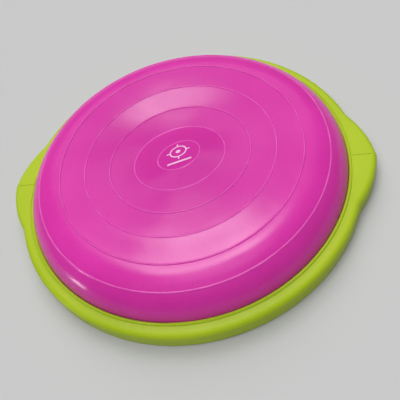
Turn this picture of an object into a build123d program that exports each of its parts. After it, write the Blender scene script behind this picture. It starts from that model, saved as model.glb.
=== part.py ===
"""Dome balance board: a low inflated PVC dome clamped into a round two-part plastic platform
with a hand wing on each side, rubber feet, and the air valve in a well under the middle.

Units are millimetres. +Z is up, the feet stand on z = 0, and the wings point along +X and -X.
"""

from build123d import *

import math
import os

# Platform
platform_radius = 272.0
foot_height = 4.0
platform_height = 28.0
platform_bottom = foot_height
platform_top = foot_height + platform_height
skin = 3.5
top_skin = 4.0
top_edge_radius = 8.0
corner_step = 2.0

# Hand wings: each half of the edge is one arc from the round rim to the tip
wing_tip_x = 292.5
wing_root_angle = 18.4
wing_sagitta = 6.3
wing_tip_fillet = 9.0
wing_root_fillet = 12.0
crease_width = 1.0
crease_depth = 0.6

# Dome
dome_radius = 250.0
dome_wall = 3.5
dome_side_bottom = 31.0
crown_height = 76.0
crown_dish = 6.0
shoulder_radius = 188.0
side_power = 2.6
side_root = 0.625
centre_flat_radius = 28.0
ring_radii = [34.0, 71.5, 110.0, 148.5, 188.0, 225.0]
ring_bead_radius = 2.0
ring_bead_height = 1.0
bead_outer_radius = 256.0
bead_bottom = 24.6
bead_top = 27.8

# Opening for the dome: a rounded lip, then a narrow groove round it
opening_radius = 250.6
lip_outer_radius = 255.2
lip_height = 1.4
groove_width = 1.6
groove_depth = 0.8

# Clamp ring and seal under the dome's bead
clamp_inner_radius = 246.0
clamp_outer_radius = 258.0
clamp_bottom = 20.4
clamp_top = 24.4
ear_outer_radius = 264.5
ear_width = 14.0
clamp_screw_circle = 261.0
seal_inner_radius = 249.0
seal_outer_radius = 254.0
seal_thickness = 2.0

# Base
deck_thickness = 4.0
deck_top = platform_bottom + deck_thickness
base_gap = 0.5
upstand_inner_radius = 249.5
upstand_outer_radius = 253.5
rib_height = 6.0
rib_thickness = 2.5
rib_count = 12
tread_groove_radii = [50.0 + 28.0 * k for k in range(6)]
tread_groove_width = 3.0
tread_groove_depth = 0.8

# Finger pockets under the wings
pocket_half_length = 58.0
pocket_inner_radius = 261.0
pocket_wall = 2.5
pocket_wall_top = platform_top - top_skin - corner_step
grip_thickness = 3.0
grip_half_length = 56.0
grip_bottom = 5.0
grip_top = 24.0
grip_rib_radius = 1.5
grip_rib_spacing = 16.0

# Screws
screw_shank_radius = 2.0
pilot_hole_radius = 2.05
clearance_hole_radius = 2.3
screw_head_radius = 3.6
screw_head_height = 2.5
screw_head_recess_length = 4.0
screw_head_recess_width = 1.0
screw_head_recess_depth = 1.0
screw_tip_z = 27.0
pilot_hole_top = 27.5
rim_screw_circle = 262.5
rim_screw_count = 12
rim_boss_radius = 4.5
base_boss_radius = 5.0
boss_meeting_z = 18.0
counterbore_radius = 4.2
counterbore_top = 11.0

# Feet
foot_count = 8
foot_circle = 232.0
foot_radius = 11.0
foot_recess_radius = 11.5
foot_recess_depth = 1.0
foot_edge_chamfer = 1.0
foot_stem_radius = 4.0
foot_barb_radius = 5.2
foot_barb_height = 1.5
foot_tip_height = 12.0

# Air valve
well_radius = 22.0
well_wall = 2.5
well_ceiling_bottom = 20.0
well_ceiling_thickness = 3.0
seat_body_radius = 7.5
seat_lower_flange_radius = 11.0
seat_upper_flange_radius = 9.5
seat_flange_thickness = 2.5
seat_bore_radius = 3.5
plug_stem_radius = 3.4
plug_head_radius = 9.0
plug_head_thickness = 4.0
plug_tab_height = 4.5
plug_tab_width = 12.0
plug_tab_thickness = 3.0

# Print on the crown: a mark above the middle and a bar below it, both turned a little
print_thickness = 0.4
print_turn = 11.0
print_mark_y = 8.0
print_ring_radius = 14.0
print_line_width = 2.2
print_dot_radius = 3.8
print_tick_length = 5.0
print_bar_y = -18.0
print_bar_length = 38.0
print_bar_width = 3.6


def ring(outer, inner, bottom, top):
    """A flat ring about the Z axis."""
    height = top - bottom
    body = Cylinder(outer, height) - Cylinder(inner, height)
    return Pos(0, 0, (bottom + top) / 2) * body


def disc(radius, bottom, top, x=0.0, y=0.0):
    """An upright cylinder between two heights."""
    return Pos(x, y, (bottom + top) / 2) * Cylinder(radius, top - bottom)


def block(x_low, x_high, y_low, y_high, bottom, top):
    """A box given by its limits."""
    centre = Pos((x_low + x_high) / 2, (y_low + y_high) / 2, (bottom + top) / 2)
    return centre * Box(x_high - x_low, y_high - y_low, top - bottom)


def wing_arc():
    """Centre and radius of the arc that makes the +X wing's edge on the +Y side."""
    turn = math.radians(wing_root_angle)
    tip = Vector(wing_tip_x, 0)
    root = Vector(platform_radius * math.cos(turn), platform_radius * math.sin(turn))
    chord = root - tip
    outward = Vector(chord.Y, -chord.X).normalized()
    radius = chord.length**2 / (8 * wing_sagitta) + wing_sagitta / 2
    centre = (tip + root) * 0.5 - outward * (radius - wing_sagitta)
    return centre, radius


def wing_edge_x(y, inset):
    """How far out the wing's edge lies at y, moved inwards by inset."""
    centre, radius = wing_arc()
    return centre.X + math.sqrt((radius - inset) ** 2 - (abs(y) - centre.Y) ** 2)


def plan_outline(inset):
    """The platform seen from above, moved inwards by inset: a round rim with two pointed wings."""
    centre, radius = wing_arc()
    edge_circle = Circle(radius - inset)
    wing = (Pos(centre.X, centre.Y) * edge_circle) & (Pos(centre.X, -centre.Y) * edge_circle)
    outline = Circle(platform_radius - inset) + wing + mirror(wing, Plane.YZ)
    roots = [v for v in outline.vertices() if abs(v.Y) > 1]
    outline = fillet(roots, wing_root_fillet + inset)
    tips = [v for v in outline.vertices() if abs(v.Y) < 1 and abs(v.X) > platform_radius]
    return fillet(tips, wing_tip_fillet - inset)


def slab(inset, bottom, top):
    """The platform's outline moved inwards by inset and made solid between two heights."""
    return Pos(0, 0, bottom) * extrude(plan_outline(inset), top - bottom)


def both_wings(piece):
    """A piece at the +X wing together with its twin at the -X wing."""
    return piece + mirror(piece, Plane.YZ)


def clamp_ear_angles():
    """The clamp ring has an ear between each pair of rim screws, except inside the finger pockets."""
    return [360.0 * k / rim_screw_count for k in range(rim_screw_count) if k % (rim_screw_count // 2)]


def on_circle(radius, angles):
    """Points at the given angles on a circle, as (x, y)."""
    turns = [math.radians(angle) for angle in angles]
    return [(radius * math.cos(turn), radius * math.sin(turn)) for turn in turns]


def rim_screw_places():
    """The rim screws' places, half a step away from the wings' middle line."""
    step = 360.0 / rim_screw_count
    return on_circle(rim_screw_circle, [step * (k + 0.5) for k in range(rim_screw_count)])


def clamp_screw_places():
    """The clamp screws' places, one in each ear."""
    return on_circle(clamp_screw_circle, clamp_ear_angles())


def foot_places():
    """The feet's places, clear of the wings."""
    step = 360.0 / foot_count
    return on_circle(foot_circle, [step * (k + 0.5) for k in range(foot_count)])


def platform_rim():
    """The upper casting: top band, lip, outer wall and the tops of both wings."""
    outer = slab(0, platform_bottom, platform_top)
    outer = fillet(outer.edges().group_by(Axis.Z)[-1], top_edge_radius)
    hollow = slab(skin, platform_bottom, platform_top - top_skin - corner_step)
    hollow += slab(skin + corner_step, platform_bottom, platform_top - top_skin)
    body = outer - hollow - disc(opening_radius, platform_bottom, platform_top + 1)

    lip_line = Line((opening_radius, platform_top), (lip_outer_radius, platform_top))
    lip_crown = ((opening_radius + lip_outer_radius) / 2, platform_top + lip_height)
    lip_arc = ThreePointArc(lip_line @ 0, lip_crown, lip_line @ 1)
    body += revolve(Plane.XZ * make_face([lip_line, lip_arc]), Axis.Z)
    body -= ring(lip_outer_radius + groove_width, lip_outer_radius, platform_top - groove_depth, platform_top + 1)

    crease = block(
        lip_outer_radius + groove_width / 2,
        wing_tip_x,
        -crease_width / 2,
        crease_width / 2,
        platform_top - crease_depth,
        platform_top + 1,
    )
    body -= both_wings(crease)

    top_inside = platform_top - top_skin
    for x, y in rim_screw_places():
        body += disc(rim_boss_radius, boss_meeting_z, top_inside, x, y)
    for x, y in clamp_screw_places():
        body += disc(rim_boss_radius, clamp_top, top_inside, x, y)
    for x, y in rim_screw_places() + clamp_screw_places():
        body -= disc(pilot_hole_radius, platform_bottom, pilot_hole_top, x, y)
    return body


def crown_profile(radius):
    """Height of the dome's outside: a slightly dished crown, then a shoulder that drops to the lip."""
    if radius <= shoulder_radius:
        share = max(0.0, (radius - centre_flat_radius) / (shoulder_radius - centre_flat_radius))
        return crown_height - crown_dish * math.cos(math.pi / 2 * share) ** 2
    share = (radius - shoulder_radius) / (dome_radius - shoulder_radius)
    side_height = crown_height - dome_side_bottom
    return dome_side_bottom + side_height * max(0.0, 1 - share**side_power) ** side_root


def dome_outline(radial_scale, drop):
    """The dome's section from the flat centre to the side, as one smooth line."""
    crown_steps = 4
    side_steps = 7
    crown_width = shoulder_radius - centre_flat_radius
    crown_radii = [centre_flat_radius + crown_width * k / crown_steps for k in range(crown_steps + 1)]
    side_shares = [1 - (1 - k / side_steps) ** 2 for k in range(1, side_steps + 1)]
    side_radii = [shoulder_radius + (dome_radius - shoulder_radius) * share for share in side_shares]
    points = [(radius * radial_scale, crown_profile(radius) - drop) for radius in crown_radii + side_radii]
    return Spline(*points, tangents=[(1, 0), (0, -1)])


def dome():
    """The soft dome: one PVC shell with raised rings and an outward bead at its foot."""
    inner_scale = (dome_radius - dome_wall) / dome_radius
    outside = dome_outline(1.0, 0.0)
    inside = dome_outline(inner_scale, dome_wall)
    inner_foot_radius = dome_radius - dome_wall
    foot = Polyline(
        outside @ 1,
        (dome_radius, bead_top),
        (bead_outer_radius, bead_top),
        (bead_outer_radius, bead_bottom),
        (inner_foot_radius, bead_bottom),
        inside @ 1,
    )
    axis_top = crown_profile(0)
    outer_flat = Line((0, axis_top), outside @ 0)
    inner_flat = Line(inside @ 0, (0, axis_top - dome_wall))
    on_axis = Line(inner_flat @ 1, outer_flat @ 0)
    section = make_face([outer_flat, outside, foot, inside, inner_flat, on_axis])
    body = revolve(Plane.XZ * section, Axis.Z)
    for radius in ring_radii:
        bead_centre = crown_profile(radius) + ring_bead_height - ring_bead_radius
        body += Pos(0, 0, bead_centre) * Torus(radius, ring_bead_radius)
    return body


def dome_print():
    """The print on the crown: a ring with a dot and four ticks, and a bar below it."""
    bottom = crown_profile(0)
    top = bottom + print_thickness
    mark = ring(print_ring_radius, print_ring_radius - print_line_width, bottom, top)
    mark += disc(print_dot_radius, bottom, top)
    tick_start = print_ring_radius - print_line_width / 2
    tick_end = print_ring_radius + print_tick_length
    half_line = print_line_width / 2
    tick = block(tick_start, tick_end, -half_line, half_line, bottom, top)
    for quarter in range(4):
        mark += Rot(0, 0, 90.0 * quarter) * tick
    half_bar = print_bar_length / 2
    bar_bottom_y = print_bar_y - print_bar_width / 2
    bar_top_y = print_bar_y + print_bar_width / 2
    bar = block(-half_bar, half_bar, bar_bottom_y, bar_top_y, bottom, top)
    whole = Pos(0, print_mark_y, 0) * mark + bar
    return Rot(0, 0, print_turn) * whole


def clamp_ring():
    """The ring that presses the dome's bead up against the rim, with an ear for each screw."""
    body = ring(clamp_outer_radius, clamp_inner_radius, clamp_bottom, clamp_top)
    middle_radius = (clamp_inner_radius + clamp_outer_radius) / 2
    ear = block(middle_radius, ear_outer_radius, -ear_width / 2, ear_width / 2, clamp_bottom, clamp_top)
    for angle in clamp_ear_angles():
        body += Rot(0, 0, angle) * ear
    for x, y in clamp_screw_places():
        body -= disc(clearance_hole_radius, clamp_bottom, clamp_top, x, y)
    return body


def deck_seal():
    """The rubber ring between the base's upstand and the clamp ring."""
    return ring(seal_outer_radius, seal_inner_radius, clamp_bottom - seal_thickness, clamp_bottom)


def finger_pocket_zone():
    """The space under the +X wing that the base leaves open for fingers."""
    strip = block(
        pocket_inner_radius / 2,
        wing_tip_x,
        -pocket_half_length,
        pocket_half_length,
        platform_bottom,
        pocket_wall_top,
    )
    return strip - disc(pocket_inner_radius, platform_bottom, pocket_wall_top)


def pocket_walls():
    """The walls round the +X finger pocket: one curved along the dome and one at each end."""
    outside = pocket_half_length + pocket_wall
    box = block(pocket_inner_radius / 2, wing_tip_x, -outside, outside, platform_bottom, pocket_wall_top)
    zone = box - disc(pocket_inner_radius - pocket_wall, platform_bottom, pocket_wall_top)
    return (zone - finger_pocket_zone()) & slab(skin + base_gap, platform_bottom, pocket_wall_top)


def platform_base():
    """The lower casting: deck, bosses, ribs, finger pockets, foot recesses and the valve well."""
    body = slab(skin + base_gap, platform_bottom, deck_top)
    body += ring(upstand_outer_radius, upstand_inner_radius, deck_top, clamp_bottom - seal_thickness)

    rib_top = deck_top + rib_height
    rib = block(well_radius, upstand_inner_radius, -rib_thickness / 2, rib_thickness / 2, deck_top, rib_top)
    for k in range(rib_count):
        body += Rot(0, 0, 360.0 * k / rib_count) * rib

    for x, y in rim_screw_places():
        body += disc(base_boss_radius, deck_top, boss_meeting_z, x, y)
        body -= disc(clearance_hole_radius, platform_bottom, boss_meeting_z, x, y)
        body -= disc(counterbore_radius, platform_bottom, counterbore_top, x, y)

    well_top = well_ceiling_bottom + well_ceiling_thickness
    body += disc(well_radius + well_wall, deck_top, well_top)
    body -= disc(well_radius, platform_bottom, well_ceiling_bottom)
    body -= disc(seat_body_radius, well_ceiling_bottom, well_top)

    for x, y in foot_places():
        body -= disc(foot_recess_radius, platform_bottom, platform_bottom + foot_recess_depth, x, y)
        body -= disc(foot_stem_radius, platform_bottom, deck_top, x, y)

    for radius in tread_groove_radii:
        groove_outer = radius + tread_groove_width
        body -= ring(groove_outer, radius, platform_bottom, platform_bottom + tread_groove_depth)

    body -= both_wings(finger_pocket_zone())
    return body + both_wings(pocket_walls())


def grip():
    """The soft strip inside the +X wing's wall, with ribs for the fingers."""
    strip = slab(skin, grip_bottom, grip_top) - slab(skin + grip_thickness, grip_bottom, grip_top)
    zone = block(
        pocket_inner_radius, wing_tip_x, -grip_half_length, grip_half_length, grip_bottom, grip_top
    )
    body = strip & zone
    ribs_each_way = int(grip_half_length // grip_rib_spacing)
    for k in range(-ribs_each_way, ribs_each_way + 1):
        y = k * grip_rib_spacing
        body += disc(grip_rib_radius, grip_bottom, grip_top, wing_edge_x(y, skin + grip_thickness), y)
    return body & slab(skin, grip_bottom, grip_top)


def screw(x, y, head_bottom):
    """A screw pointing up, with a cross recess in its head."""
    head_top = head_bottom + screw_head_height
    body = disc(screw_head_radius, head_bottom, head_top, x, y)
    body += disc(screw_shank_radius, head_top, screw_tip_z, x, y)
    for length, width in (
        (screw_head_recess_length, screw_head_recess_width),
        (screw_head_recess_width, screw_head_recess_length),
    ):
        body -= Pos(x, y, head_bottom) * Box(length, width, 2 * screw_head_recess_depth)
    return body


def foot(x, y):
    """A rubber foot: a pad, a stem through the deck and a barb that holds it above the deck."""
    pad = disc(foot_radius, 0, platform_bottom + foot_recess_depth, x, y)
    pad = chamfer(pad.edges().group_by(Axis.Z)[0], foot_edge_chamfer)
    stem = disc(foot_stem_radius, foot_height, foot_tip_height, x, y)
    barb = disc(foot_barb_radius, deck_top, deck_top + foot_barb_height, x, y)
    return pad + stem + barb


def valve_seat():
    """The rubber grommet that the plug seals in."""
    ceiling_top = well_ceiling_bottom + well_ceiling_thickness
    bottom = well_ceiling_bottom - seat_flange_thickness
    top = ceiling_top + seat_flange_thickness
    body = disc(seat_lower_flange_radius, bottom, well_ceiling_bottom)
    body += disc(seat_body_radius, bottom, top)
    body += disc(seat_upper_flange_radius, ceiling_top, top)
    return body - disc(seat_bore_radius, bottom, top)


def valve_plug():
    """The plug: a stem in the grommet, a round head below it and a tab to pull."""
    head_top = well_ceiling_bottom - seat_flange_thickness
    head_bottom = head_top - plug_head_thickness
    stem_top = well_ceiling_bottom + well_ceiling_thickness + seat_flange_thickness
    body = disc(plug_head_radius, head_bottom, head_top) + disc(plug_stem_radius, head_top, stem_top)
    tab = block(
        -plug_tab_width / 2,
        plug_tab_width / 2,
        -plug_tab_thickness / 2,
        plug_tab_thickness / 2,
        head_bottom - plug_tab_height,
        head_bottom,
    )
    return body + tab


def write(node, *solids):
    """One STEP file for one node; a node of several loose solids keeps them separate."""
    shape = solids[0] if len(solids) == 1 else Compound(children=[solid.solid() for solid in solids])
    shape.label = node
    export_step(shape, f"parts/{node}.step")


os.makedirs("parts", exist_ok=True)
clamp_screw_head = clamp_bottom - screw_head_height
rim_screw_head = counterbore_top - screw_head_height

write("platform_rim", platform_rim())
write("platform_base", platform_base())
write("dome", dome())
write("dome_print", dome_print())
write("clamp_ring", clamp_ring())
write("deck_seal", deck_seal())
write("right_grip", grip())
write("left_grip", mirror(grip(), Plane.YZ))
write("clamp_screws", *[screw(x, y, clamp_screw_head) for x, y in clamp_screw_places()])
write("rim_screws", *[screw(x, y, rim_screw_head) for x, y in rim_screw_places()])
write("valve_seat", valve_seat())
write("valve_plug", valve_plug())
for number, (x, y) in enumerate(foot_places(), start=1):
    write(f"foot_{number:02d}", foot(x, y))
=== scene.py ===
"""Looks of the dome balance board: a soft magenta dome, a lime platform, rubber and screws.

Lengths are in metres, in the CAD frame: +Z up, the feet stand on z = 0, the wings point along X.
"""

import math

import bpy
from mathutils import Matrix, Vector


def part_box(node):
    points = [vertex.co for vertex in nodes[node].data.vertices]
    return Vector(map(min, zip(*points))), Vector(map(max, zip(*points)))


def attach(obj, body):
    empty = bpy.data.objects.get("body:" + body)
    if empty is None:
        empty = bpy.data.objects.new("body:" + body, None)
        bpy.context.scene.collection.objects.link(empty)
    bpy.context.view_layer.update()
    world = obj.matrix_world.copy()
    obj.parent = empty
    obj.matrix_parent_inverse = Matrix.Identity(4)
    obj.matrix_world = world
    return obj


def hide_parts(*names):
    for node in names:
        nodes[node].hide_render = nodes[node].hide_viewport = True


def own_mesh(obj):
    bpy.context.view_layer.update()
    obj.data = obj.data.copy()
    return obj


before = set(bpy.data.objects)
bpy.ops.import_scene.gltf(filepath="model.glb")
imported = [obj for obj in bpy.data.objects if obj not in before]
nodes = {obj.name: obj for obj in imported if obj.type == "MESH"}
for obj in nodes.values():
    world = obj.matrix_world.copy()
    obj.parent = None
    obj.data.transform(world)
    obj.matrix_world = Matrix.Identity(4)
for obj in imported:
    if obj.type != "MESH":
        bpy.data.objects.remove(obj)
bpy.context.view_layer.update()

# Dome: the CAD shell's own sizes
edge_radius = 0.250
wall = 0.0035
bead_top = 0.0278
side_foot = 0.0310

# Dome: the slack skin. Rings go from the centre out, and the last one lies on the shoulder
ring_radii = [0.0340, 0.0715, 0.1100, 0.1485, 0.1880, 0.2250]
centre_height = 0.0728
ring_heights = [0.0720, 0.0681, 0.0707, 0.0754, 0.0770]
ring_leans_x = [0.0060, 0.0045, 0.0034, 0.0015, -0.0002, 0.0]
ring_leans_y = [-0.0084, -0.0132, -0.0101, -0.0047, 0.0005, 0.0]
shoulder_radius = ring_radii[4]
side_power = 2.4
side_root = 0.585
dome_segments = 384

# How straight the skin is from one ring to the next: 0 is a smooth curve, 1 a straight line
facet_shares = [0.75, 0.75, 0.75, 0.70, 0.30, 0.75]

# Raised ribs on the rings
rib_heights = [0.0004, 0.0006, 0.0010, 0.0007, 0.0012, 0.0008]
rib_half_width = 0.0015
rib_fullness = 0.7

# Print on the crown
print_turn = math.radians(11)
print_mark_y = 0.0080
print_radius = 0.0140
print_line = 0.0022
print_dot = 0.0038
print_dot_pinhole = 0.0002
print_tick = 0.0050
print_bar_y = -0.0180
print_bar_length = 0.0380
print_bar_width = 0.0036
print_above_skin = 0.0004
print_below_skin = 0.00012

# Surround: how much it lights, and how bright it looks behind the floor
surround_light = 0.14
surround_seen = 0.7

# Place that the lamps look at
dome_middle = Vector((0, 0, 0.05))

# Camera, as the photographer stood; angles in degrees
camera_aim = Vector((0.0317, -0.0713, 0.0500))
camera_azimuth = 18.1
camera_elevation = 53.8
camera_roll = 19.4
camera_distance = 0.7617
camera_lens = 46.8


def add_piece(name, vertices, faces):
    """A new mesh object in the scene, from its points and faces."""
    mesh = bpy.data.meshes.new(name)
    mesh.from_pydata([tuple(v) for v in vertices], [], faces)
    mesh.validate()
    piece = bpy.data.objects.new(name, mesh)
    bpy.context.scene.collection.objects.link(piece)
    return piece


def circle_turns(count):
    """Angles of a full circle, evenly apart."""
    return [2 * math.pi * k / count for k in range(count)]


# ---------------------------------------------------------------- dome

def between_rings(centre_value, ring_values, radius):
    """A value given at the centre and at each ring: a smooth curve, flattened by facet_shares."""
    radii = [0.0] + ring_radii[: len(ring_values)]
    values = [centre_value] + ring_values
    k = max(n for n in range(len(radii) - 1) if radius >= radii[n])
    span = radii[k + 1] - radii[k]
    share = (radius - radii[k]) / span

    def slope(n):
        low, high = max(n - 1, 0), min(n + 1, len(radii) - 1)
        return (values[high] - values[low]) / (radii[high] - radii[low])

    straight = values[k] + (values[k + 1] - values[k]) * share
    inner_weight = 2 * share**3 - 3 * share**2 + 1
    outer_weight = 3 * share**2 - 2 * share**3
    smooth = inner_weight * values[k] + outer_weight * values[k + 1]
    smooth += span * slope(k) * share * (1 - share) ** 2
    smooth -= span * slope(k + 1) * share**2 * (1 - share)
    return smooth + (straight - smooth) * facet_shares[k]


def skin_height(radius):
    """Height of the dome's outside without lean or ribs: a dished crown, then the side."""
    if radius < shoulder_radius:
        return between_rings(centre_height, ring_heights, radius)
    share = (radius - shoulder_radius) / (edge_radius - shoulder_radius)
    fall = max(0.0, 1 - share**side_power) ** side_root
    return side_foot + (ring_heights[-1] - side_foot) * fall


def lean(radius, turn):
    """How far the slack crown is pushed up or down here: up to the near side and +X."""
    if radius >= ring_radii[-1]:
        return 0.0
    lean_x = between_rings(0.0, ring_leans_x, radius)
    lean_y = between_rings(0.0, ring_leans_y, radius)
    return lean_x * math.cos(turn) + lean_y * math.sin(turn)


def rib(radius):
    """Extra height from the raised rings."""
    for ring, rib_height in zip(ring_radii, rib_heights):
        reach = abs(radius - ring) / rib_half_width
        if reach < 1:
            return rib_height * (0.5 + 0.5 * math.cos(math.pi * reach)) ** rib_fullness
    return 0.0


def dome_point(radius, turn):
    """A point on the dome's outside."""
    height = skin_height(radius) + lean(radius, turn) + rib(radius)
    return Vector((radius * math.cos(turn), radius * math.sin(turn), height))


def dome_radii():
    """Sample radii: coarse on the plain skin, fine across each ring and down the side."""
    first_radius = 0.003
    coarse_step = 0.0045
    rib_steps = 5
    side_steps = 48
    clear_of_rib = rib_half_width * 1.3
    side_clear_of_rib = rib_half_width * 1.2
    side_start = shoulder_radius + rib_half_width * 1.5

    radii = {first_radius}
    radii.update(coarse_step * k for k in range(1, int(shoulder_radius / coarse_step) + 1))
    for ring in ring_radii:
        radii = {radius for radius in radii if abs(radius - ring) > clear_of_rib}
        rib_counts = range(-rib_steps - 1, rib_steps + 2)
        radii.update(ring + rib_half_width * k / rib_steps for k in rib_counts)
    for k in range(1, side_steps + 1):
        share = 1 - (1 - k / side_steps) ** 2
        radius = side_start + (edge_radius - side_start) * share
        if abs(radius - ring_radii[-1]) > side_clear_of_rib:
            radii.add(radius)
    return sorted(radii)


def lathe(name, columns, point_at, centre_points):
    """A closed, smooth skin: a ring of points for each column, with one point at each end."""
    turns = circle_turns(dome_segments)
    vertices = [centre_points[0]]
    for column in columns:
        vertices.extend(point_at(column, turn) for turn in turns)
    vertices.append(centre_points[1])
    last = len(vertices) - 1
    last_ring = 1 + (len(columns) - 1) * dome_segments
    faces = []
    for k in range(dome_segments):
        after = (k + 1) % dome_segments
        faces.append((0, 1 + k, 1 + after))
        for ring in range(len(columns) - 1):
            inner = 1 + ring * dome_segments
            outer = inner + dome_segments
            faces.append((inner + k, outer + k, outer + after, inner + after))
        faces.append((last_ring + after, last_ring + k, last))
    piece = add_piece(name, vertices, faces)
    piece.data.shade_smooth()
    return piece


def make_dome():
    """The soft shell: ringed outside, bead under the lip and plain inside, as one closed skin."""
    low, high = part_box("dome")
    inside_edge = edge_radius - wall
    inner_scale = inside_edge / edge_radius
    bead_round = 0.0006
    inner_step = 0.012
    inner_start = edge_radius - 0.0002

    # Fillet where the side meets the bead: (out from the side, up from the bead's top)
    fillet = [(0.0, 0.0012), (0.0004, 0.0002), (0.0015, 0.0)]
    bead = [(edge_radius + out, bead_top + up) for out, up in fillet]
    bead += [
        (high.x - bead_round, bead_top),
        (high.x, bead_top - bead_round),
        (high.x, low.z + bead_round),
        (high.x - bead_round, low.z),
        (inside_edge + bead_round, low.z),
        (inside_edge, low.z + bead_round),
    ]
    inner_count = int(edge_radius / inner_step)
    inner_radii = [inner_start] + [edge_radius - inner_step * k for k in range(1, inner_count)]

    columns = [("outside", radius, None) for radius in dome_radii()]
    columns += [("bead", radius, height) for radius, height in bead]
    columns += [("inside", radius, None) for radius in inner_radii]

    def point_at(column, turn):
        part, radius, height = column
        if part == "bead":
            return Vector((radius * math.cos(turn), radius * math.sin(turn), height))
        point = dome_point(radius, turn)
        if part == "inside":
            point.z -= wall + rib(radius)
            return Vector((point.x * inner_scale, point.y * inner_scale, point.z))
        return point

    centre = dome_point(0.0, 0.0)
    return lathe("dome_skin", columns, point_at, (centre, centre - Vector((0, 0, wall))))


# ---------------------------------------------------------------- print

def straight_strip(start, end, width):
    """A straight strip of the mark as (one edge, other edge) pairs along its length."""
    along = (end - start).normalized()
    across = Vector((-along.y, along.x)) * width / 2
    steps = 12
    stops = [start + (end - start) * k / steps for k in range(steps + 1)]
    return [(stop - across, stop + across) for stop in stops]


def print_strips():
    """The mark's strips in the plane of the crown: a ring, a dot, four ticks and a bar."""
    strips = []
    centre = Vector((0, print_mark_y))
    circle_steps = 72
    circle = [Vector((math.cos(turn), math.sin(turn))) for turn in circle_turns(circle_steps)]
    closed_circle = circle + circle[:1]
    ring_and_dot = ((print_radius - print_line, print_radius), (print_dot_pinhole, print_dot))
    for inner, outer in ring_and_dot:
        strips.append([(centre + way * inner, centre + way * outer) for way in closed_circle])
    for quarter in range(4):
        along = circle[quarter * circle_steps // 4]
        start = centre + along * (print_radius - print_line / 2)
        end = start + along * (print_tick + print_line / 2)
        strips.append(straight_strip(start, end, print_line))
    half_bar = Vector((print_bar_length / 2, 0))
    bar_centre = Vector((0, print_bar_y))
    strips.append(straight_strip(bar_centre - half_bar, bar_centre + half_bar, print_bar_width))
    turned = Matrix.Rotation(print_turn, 2)
    return [[(turned @ one, turned @ other) for one, other in strip] for strip in strips]


def on_crown(flat, lift):
    """A point of the mark laid on the dome's skin and lifted off it."""
    return dome_point(flat.length, math.atan2(flat.y, flat.x)) + Vector((0, 0, lift))


def make_print():
    """The printed mark: thin closed strips that follow the leaning crown."""
    vertices, faces = [], []
    for strip in print_strips():
        start = len(vertices)
        for one, other in strip:
            for lift in (print_above_skin, -print_below_skin):
                vertices.append(on_crown(one, lift))
                vertices.append(on_crown(other, lift))
        for k in range(len(strip) - 1):
            a = start + 4 * k
            b = a + 4
            faces.append((a, a + 1, b + 1, b))
            faces.append((a + 2, b + 2, b + 3, a + 3))
            faces.append((a + 1, a + 3, b + 3, b + 1))
            faces.append((a, b, b + 2, a + 2))
        for end in (start, start + 4 * (len(strip) - 1)):
            faces.append((end, end + 2, end + 3, end + 1))
    return add_piece("crown_print", vertices, faces)


# ---------------------------------------------------------------- materials

def plain(name, colour, roughness, **sockets):
    """A material with a principled shader; returns the material, its nodes and the shader."""
    material = bpy.data.materials.new(name)
    material.use_nodes = True
    tree = material.node_tree
    shader = tree.nodes["Principled BSDF"]
    shader.inputs["Base Color"].default_value = (*colour, 1.0)
    shader.inputs["Roughness"].default_value = roughness
    for socket, value in sockets.items():
        shader.inputs[socket.replace("_", " ")].default_value = value
    return material, tree, shader


def noise(tree, scale, detail=2.0, roughness=0.5):
    """Noise in the object's own coordinates, in cycles per metre."""
    place = tree.nodes.new("ShaderNodeTexCoord")
    texture = tree.nodes.new("ShaderNodeTexNoise")
    texture.inputs["Scale"].default_value = scale
    texture.inputs["Detail"].default_value = detail
    texture.inputs["Roughness"].default_value = roughness
    tree.links.new(place.outputs["Object"], texture.inputs["Vector"])
    return texture.outputs["Fac"]


def spread(tree, value, low, high, from_low=0.3, from_high=0.7):
    """The value stretched from one range to another, clamped."""
    mapped = tree.nodes.new("ShaderNodeMapRange")
    mapped.inputs["From Min"].default_value = from_low
    mapped.inputs["From Max"].default_value = from_high
    mapped.inputs["To Min"].default_value = low
    mapped.inputs["To Max"].default_value = high
    tree.links.new(value, mapped.inputs["Value"])
    return mapped.outputs["Result"]


def math_node(tree, operation, first, second=0.0):
    """A math node's result; each value is a socket or a number."""
    node = tree.nodes.new("ShaderNodeMath")
    node.operation = operation
    for socket, value in zip(node.inputs, (first, second)):
        if isinstance(value, (int, float)):
            socket.default_value = value
        else:
            tree.links.new(value, socket)
    return node.outputs["Value"]


def mix_colours(tree, share, first, second):
    """Two colours mixed by a share; each is a socket or three numbers."""
    mix = tree.nodes.new("ShaderNodeMix")
    mix.data_type = "RGBA"
    tree.links.new(share, mix.inputs["Factor"])
    for socket, colour in ((mix.inputs[6], first), (mix.inputs[7], second)):
        if isinstance(colour, tuple):
            socket.default_value = (*colour, 1.0)
        else:
            tree.links.new(colour, socket)
    return mix.outputs[2]


def colour_by(tree, shader, share, first, second):
    """Makes the shader's colour a mix of two colours."""
    tree.links.new(mix_colours(tree, share, first, second), shader.inputs["Base Color"])


def bump(tree, shader, layers):
    """Stacks bump layers, each (height socket, strength, distance), onto the shader's normal."""
    normal = None
    for height, strength, distance in layers:
        node = tree.nodes.new("ShaderNodeBump")
        node.inputs["Strength"].default_value = strength
        node.inputs["Distance"].default_value = distance
        tree.links.new(height, node.inputs["Height"])
        if normal is not None:
            tree.links.new(normal, node.inputs["Normal"])
        normal = node.outputs["Normal"]
    tree.links.new(normal, shader.inputs["Normal"])


def axis_distance(tree):
    """Distance from the dome's axis, in metres."""
    place = tree.nodes.new("ShaderNodeTexCoord")
    flat = tree.nodes.new("ShaderNodeVectorMath")
    flat.operation = "MULTIPLY"
    flat.inputs[1].default_value = (1, 1, 0)
    tree.links.new(place.outputs["Object"], flat.inputs[0])
    length = tree.nodes.new("ShaderNodeVectorMath")
    length.operation = "LENGTH"
    tree.links.new(flat.outputs["Vector"], length.inputs[0])
    return length.outputs["Value"]


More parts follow.
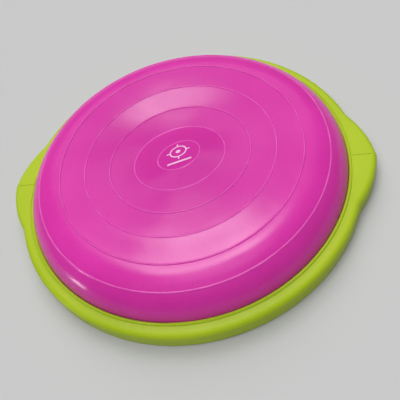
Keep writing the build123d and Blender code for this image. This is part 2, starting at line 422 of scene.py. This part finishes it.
def painted_rib_highlight(tree, radius):
    """Painted highlight on the raised rings: strongest on top of each ring, broken up by noise."""
    rib_highlight_share = None
    for ring in ring_radii:
        off_ring = math_node(tree, "ABSOLUTE", math_node(tree, "SUBTRACT", radius, ring))
        on_ring = spread(tree, off_ring, 1.0, 0.0, from_low=0.0003, from_high=0.0012)
        rib_highlight_share = on_ring if rib_highlight_share is None else math_node(tree, "MAXIMUM", rib_highlight_share, on_ring)
    return math_node(tree, "MULTIPLY", rib_highlight_share, spread(tree, noise(tree, 45, 3), 0.30, 0.85))


def magenta_pvc():
    """Satin magenta PVC: painted shade darkening the middle of the crown, a painted highlight on
    top of the rings, and fine specks.
    """
    material, tree, shader = plain(
        "magenta_pvc", (0.66, 0.02, 0.36), 0.22, IOR=1.5, Specular_IOR_Level=0.3
    )
    radius = axis_distance(tree)
    cloud = spread(tree, noise(tree, 9, 3), 0.0, 1.0)
    colour = mix_colours(tree, cloud, (0.64, 0.027, 0.345), (0.70, 0.037, 0.385))
    # Painted shade: the colour darkens towards (0.48, 0.020, 0.262) at the middle of the crown,
    # fading out by 0.19 m from the axis
    wear_and_painted_shade = spread(tree, radius, 0.44, 0.0, from_low=0.05, from_high=0.19)
    painted_centre_shade = math_node(tree, "ADD", wear_and_painted_shade, spread(tree, noise(tree, 5, 2), -0.1, 0.1))
    colour = mix_colours(tree, painted_centre_shade, colour, (0.48, 0.020, 0.262))
    # Painted highlight: paler colour (0.86, 0.17, 0.60) on top of each raised ring
    colour = mix_colours(tree, painted_rib_highlight(tree, radius), colour, (0.86, 0.17, 0.60))
    speck = spread(tree, noise(tree, 520, 0), 0.0, 0.5, from_low=0.76, from_high=0.79)
    colour_by(tree, shader, speck, colour, (0.33, 0.02, 0.17))
    tree.links.new(spread(tree, noise(tree, 13, 3, 0.4), 0.18, 0.26), shader.inputs["Roughness"])
    bump(tree, shader, [(noise(tree, 16, 2), 0.18, 0.003), (noise(tree, 1400, 2), 0.10, 0.0002)])
    return material


def lime_plastic():
    """Moulded lime plastic: a fine spark-eroded grain, slight colour drift, a few pale scuffs."""
    material, tree, shader = plain(
        "lime_plastic", (0.39, 0.52, 0.014), 0.42, IOR=1.49, Specular_IOR_Level=0.2
    )
    cloud = spread(tree, noise(tree, 7, 2), 0.0, 1.0)
    colour = mix_colours(tree, cloud, (0.365, 0.500, 0.013), (0.415, 0.550, 0.019))
    scuffs = spread(tree, noise(tree, 34, 9, 0.72), 0.0, 0.45, from_low=0.60, from_high=0.74)
    colour_by(tree, shader, scuffs, colour, (0.52, 0.62, 0.10))
    tree.links.new(spread(tree, noise(tree, 90, 4), 0.36, 0.48), shader.inputs["Roughness"])
    bump(tree, shader, [(noise(tree, 900, 3), 0.18, 0.0003)])
    return material


def pale_print():
    """Screen-printed ink, thin and a little worn."""
    material, tree, shader = plain("pale_print", (0.86, 0.52, 0.74), 0.5)
    wear_and_painted_shade = spread(tree, noise(tree, 900, 3), 0.0, 1.0, from_low=0.35, from_high=0.75)
    colour_by(tree, shader, wear_and_painted_shade, (0.90, 0.60, 0.80), (0.80, 0.36, 0.62))
    return material


def rubber(name, colour):
    """Matte moulded rubber with a faint bloom."""
    material, tree, shader = plain(name, colour, 0.75)
    bloom = spread(tree, noise(tree, 120, 4), 0.0, 1.0)
    lighter = tuple(channel * 1.5 + 0.01 for channel in colour)
    colour_by(tree, shader, bloom, colour, lighter)
    bump(tree, shader, [(noise(tree, 1500, 2), 0.25, 0.0003)])
    return material


def nylon():
    """Dark glass-filled nylon."""
    material, tree, shader = plain("dark_nylon", (0.03, 0.03, 0.034), 0.5)
    fibres = spread(tree, noise(tree, 700, 6), 0.0, 1.0)
    colour_by(tree, shader, fibres, (0.025, 0.025, 0.028), (0.05, 0.05, 0.055))
    bump(tree, shader, [(noise(tree, 1200, 2), 0.2, 0.0002)])
    return material


def zinc_steel():
    """Zinc-plated steel, slightly mottled."""
    material, tree, shader = plain("zinc_steel", (0.62, 0.63, 0.65), 0.32, Metallic=1.0)
    mottle = spread(tree, noise(tree, 600, 4), 0.0, 1.0)
    colour_by(tree, shader, mottle, (0.55, 0.56, 0.57), (0.70, 0.70, 0.70))
    tree.links.new(spread(tree, noise(tree, 900, 4), 0.25, 0.42), shader.inputs["Roughness"])
    return material


def white_plastic():
    """Off-white polypropylene for the valve plug."""
    material, tree, shader = plain("white_plastic", (0.80, 0.80, 0.77), 0.35)
    cloud = spread(tree, noise(tree, 150, 3), 0.0, 1.0)
    colour_by(tree, shader, cloud, (0.77, 0.77, 0.73), (0.84, 0.84, 0.81))
    bump(tree, shader, [(noise(tree, 1500, 2), 0.1, 0.0002)])
    return material


def paint(piece, material):
    """Gives the piece this one material."""
    piece.data.materials.clear()
    piece.data.materials.append(material)


# ---------------------------------------------------------------- stage

def make_floor():
    """A plain pale floor under the feet: a disc, so that its far edge looks the same all round."""
    floor_radius = 14.0
    turns = circle_turns(96)
    corners = [(floor_radius * math.cos(turn), floor_radius * math.sin(turn), 0) for turn in turns]
    floor = add_piece("floor", corners, [tuple(range(len(corners)))])
    paint(floor, plain("pale_floor", (0.54, 0.54, 0.54), 0.8, Specular_IOR_Level=0.0)[0])


def from_side(azimuth, elevation):
    """Unit vector towards a place round the board, in degrees. Azimuth 0 is -Y, 90 is +X."""
    turn, rise = math.radians(azimuth), math.radians(elevation)
    level = math.cos(rise)
    return Vector((math.sin(turn) * level, -math.cos(turn) * level, math.sin(rise)))


def place_lamp(light, away, distance, aim):
    """Hangs a light at a distance from its aim, turned to it and unseen by the camera."""
    lamp = bpy.data.objects.new(light.name, light)
    lamp.location = aim + away * distance
    lamp.rotation_euler = (-away).to_track_quat("-Z", "Y").to_euler()
    lamp.visible_camera = False
    bpy.context.scene.collection.objects.link(lamp)
    return lamp


def gloss_panel(name, azimuth, elevation, distance, width, height, power,
                aim=dome_middle, beam=180):
    """A rectangular panel that shows only as a highlight; beam is its width in degrees."""
    light = bpy.data.lights.new(name, "AREA")
    light.shape = "RECTANGLE"
    light.size = width
    light.size_y = height
    light.energy = power
    light.spread = math.radians(beam)
    place_lamp(light, from_side(azimuth, elevation), distance, aim).visible_diffuse = False


def wide_light(name, azimuth, elevation, strength):
    """An even, very soft light from far off that leaves no highlight."""
    light = bpy.data.lights.new(name, "SUN")
    light.energy = strength
    light.angle = math.radians(50)
    place_lamp(light, from_side(azimuth, elevation), 4.0, dome_middle).visible_glossy = False


def make_lights():
    """Even soft light from the back and the front, and the panels that the dome mirrors."""
    wide_light("back", azimuth=190, elevation=50, strength=1.7)
    wide_light("front", azimuth=-25, elevation=72, strength=1.75)
    gloss_panel("key", azimuth=201, elevation=71.5, distance=3.0,
                width=1.3, height=0.56, power=29)
    gloss_panel("key_side", azimuth=219, elevation=60, distance=3.0,
                width=0.34, height=0.34, power=4.2)
    gloss_panel("top", azimuth=200, elevation=90, distance=3.0,
                width=1.6, height=1.0, power=8)
    gloss_panel("low_back", azimuth=195, elevation=38, distance=3.5,
                width=4.0, height=0.9, power=9)
    near_left = dome_point(0.2405, math.radians(-124))
    gloss_panel("glint", azimuth=-69, elevation=-2.5, distance=0.5,
                width=0.11, height=0.06, power=0.0055, aim=near_left, beam=24)


def make_surround():
    """White surround: dim as a light, brighter where the camera sees it behind the floor."""
    world = bpy.data.worlds.new("surround")
    world.use_nodes = True
    tree = world.node_tree
    background = tree.nodes["Background"]
    background.inputs["Color"].default_value = (1, 1, 1, 1)
    seen = tree.nodes.new("ShaderNodeLightPath")
    strength = tree.nodes.new("ShaderNodeMix")
    strength.inputs["A"].default_value = surround_light
    strength.inputs["B"].default_value = surround_seen
    tree.links.new(seen.outputs["Is Camera Ray"], strength.inputs["Factor"])
    tree.links.new(strength.outputs["Result"], background.inputs["Strength"])
    bpy.context.scene.world = world


def make_camera():
    """The camera, placed from its aim point by azimuth, elevation, distance and roll."""
    back = from_side(camera_azimuth, camera_elevation)
    roll = Matrix.Rotation(-math.radians(camera_roll), 3, "Z")
    camera = bpy.data.objects.new("camera", bpy.data.cameras.new("camera"))
    camera.data.lens = camera_lens
    camera.data.sensor_width = 36.0
    camera.location = camera_aim + back * camera_distance
    camera.rotation_euler = ((-back).to_track_quat("-Z", "Y").to_matrix() @ roll).to_euler()
    bpy.context.scene.collection.objects.link(camera)
    bpy.context.scene.camera = camera
    bpy.context.scene.view_settings.view_transform = "Standard"


# ---------------------------------------------------------------- put together

make_camera()
make_lights()
make_surround()
make_floor()

lime = lime_plastic()
grey = rubber("grey_rubber", (0.06, 0.06, 0.065))
black = rubber("black_rubber", (0.02, 0.02, 0.02))
steel = zinc_steel()
finishes = {
    "platform_rim": lime,
    "platform_base": lime,
    "clamp_ring": nylon(),
    "deck_seal": black,
    "right_grip": grey,
    "left_grip": grey,
    "clamp_screws": steel,
    "rim_screws": steel,
    "valve_seat": black,
    "valve_plug": white_plastic(),
}
finishes.update({name: grey for name in nodes if name.startswith("foot_")})
for name, material in finishes.items():
    paint(nodes[name], material)

# The dome's skin and its print take the place of the CAD dome and print, and move with the
# platform
for piece, node, slot, material in (
    (make_dome(), "dome", "magenta_pvc", magenta_pvc()),
    (make_print(), "dome_print", "pale_print", pale_print()),
):
    paint(piece, material)
    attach(piece, "platform")
    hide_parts(node)
    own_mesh(piece)
